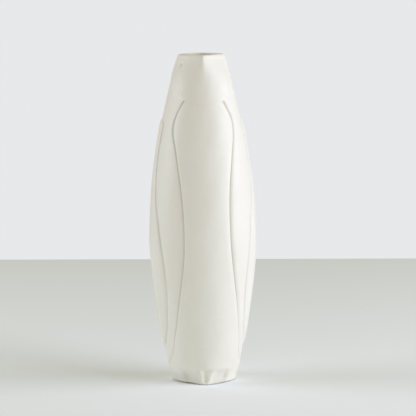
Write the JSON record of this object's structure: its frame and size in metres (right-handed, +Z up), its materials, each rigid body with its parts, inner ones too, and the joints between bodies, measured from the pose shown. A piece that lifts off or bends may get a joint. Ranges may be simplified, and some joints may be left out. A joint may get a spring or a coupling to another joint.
{
  "type": "flower vase",
  "caption": "Slender closed-bud flower vase in white glazed ceramic: overlapping petal panels on a hollow body, small four-cornered mouth, pleated foot",
  "frame": {"origin": "on the table, under the middle of the foot", "axes": "+Z up along the body; -Y towards the front petal; +X towards the right leaf"},
  "size_m": [0.136, 0.1368, 0.42],
  "materials": {
    "glaze": "warm white satin glaze",
    "bare_clay": "unglazed fired clay on the underside"
  },
  "bodies": {
    "root": {"vessel_wall": "glaze", "base_slab": "bare_clay", "left_side_band": "glaze", "right_side_band": "glaze", "front_petal": "glaze", "back_petal": "glaze", "left_leaf": "glaze", "right_leaf": "glaze", "front_collar": "glaze", "back_collar": "glaze"}
  },
  "joints": []
}
